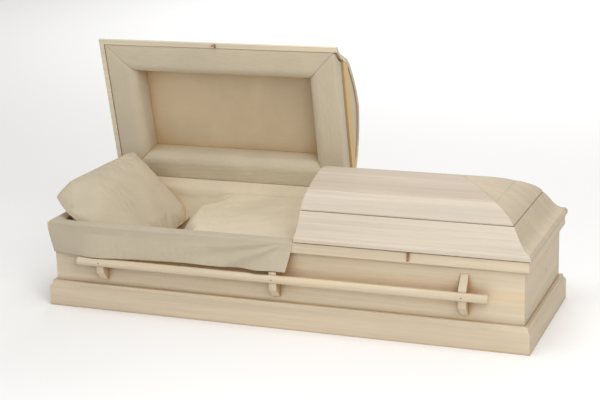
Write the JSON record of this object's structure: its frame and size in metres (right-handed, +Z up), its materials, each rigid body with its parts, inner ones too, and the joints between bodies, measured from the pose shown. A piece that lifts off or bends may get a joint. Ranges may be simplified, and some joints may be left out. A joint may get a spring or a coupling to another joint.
{
  "type": "wooden casket",
  "caption": "Half-couch casket of bare softwood with a crowned two-part lid, bar handles, moulded plinth and padded cloth interior; head lid open, foot lid closed.",
  "frame": {"origin": "centre of the case's underside, on the surface that it stands on", "axes": "+X along the length from the head end to the foot end; -Y is the front with the opening edge of the lids, +Y the hinge side; +Z up"},
  "size_m": [2.109, 0.8958, 1.0706],
  "materials": {
    "wood": "bare sanded softwood",
    "wood_top": "bare sanded softwood, pinker",
    "wood_end": "bare sanded softwood, upright grain",
    "raw_wood": "sawn, yellow",
    "muslin": "plain weave, unbleached",
    "panel_cloth": "plain weave, unbleached, darker",
    "leather": "matt, brown",
    "hinge_steel": "satin"
  },
  "bodies": {
    "case": {"bottom_board": "wood", "side_panel_front": "wood", "side_panel_back": "wood", "end_panel_head": "wood_end", "end_panel_foot": "wood_end", "plinth_front": "wood", "plinth_back": "wood", "plinth_head": "wood_end", "plinth_foot": "wood_end", "ledge_front": "wood", "ledge_back": "wood", "ledge_head": "wood_end", "ledge_foot": "wood_end", "handle_bar_front": "wood", "handle_bar_back": "wood", "handle_arm_front_1": "wood", "handle_arm_front_2": "wood", "handle_arm_front_3": "wood", "handle_arm_back_1": "wood", "handle_arm_back_2": "wood", "handle_arm_back_3": "wood", "lining_front": "muslin", "lining_back": "muslin", "lining_head": "muslin", "lining_foot": "muslin", "bed_pad": "muslin", "throw": "muslin", "hinge_curtain": "muslin", "pillow": "muslin", "head_hinge_case_leaf": "hinge_steel", "foot_hinge_case_leaf": "hinge_steel"},
    "head_lid": {"head_lid_front_lower": "wood", "head_lid_front_upper": "wood", "head_lid_back_lower": "wood", "head_lid_back_upper": "wood", "head_lid_end_lower": "wood_end", "head_lid_end_upper": "wood_end", "head_lid_end_top": "wood_end", "head_lid_top": "wood_top", "head_lid_roll_front": "muslin", "head_lid_roll_back": "muslin", "head_lid_roll_end": "muslin", "head_lid_roll_cut": "muslin", "head_lid_centre_panel": "panel_cloth", "head_lid_header": "wood_end", "head_lid_slat": "raw_wood", "head_lid_tab": "leather", "head_hinge_lid_leaf": "hinge_steel"},
    "foot_lid": {"foot_lid_front_lower": "wood", "foot_lid_front_upper": "wood", "foot_lid_back_lower": "wood", "foot_lid_back_upper": "wood", "foot_lid_end_lower": "wood_end", "foot_lid_end_upper": "wood_end", "foot_lid_end_top": "wood_end", "foot_lid_top": "wood_top", "foot_lid_header": "wood_end", "foot_lid_tab": "leather", "foot_hinge_lid_leaf": "hinge_steel"}
  },
  "joints": [
    {"name": "head_lid_hinge", "type": "hinge", "parent": "case", "child": "head_lid", "pos_m": [0, 0.35, 0.3745], "axis": [1, 0, 0], "range_deg": [0, 79], "deforming": ["pillow", "hinge_curtain"]},
    {"name": "foot_lid_hinge", "type": "hinge", "parent": "case", "child": "foot_lid", "pos_m": [0, 0.35, 0.3745], "axis": [-1, 0, 0], "range_deg": [0, 79]}
  ]
}
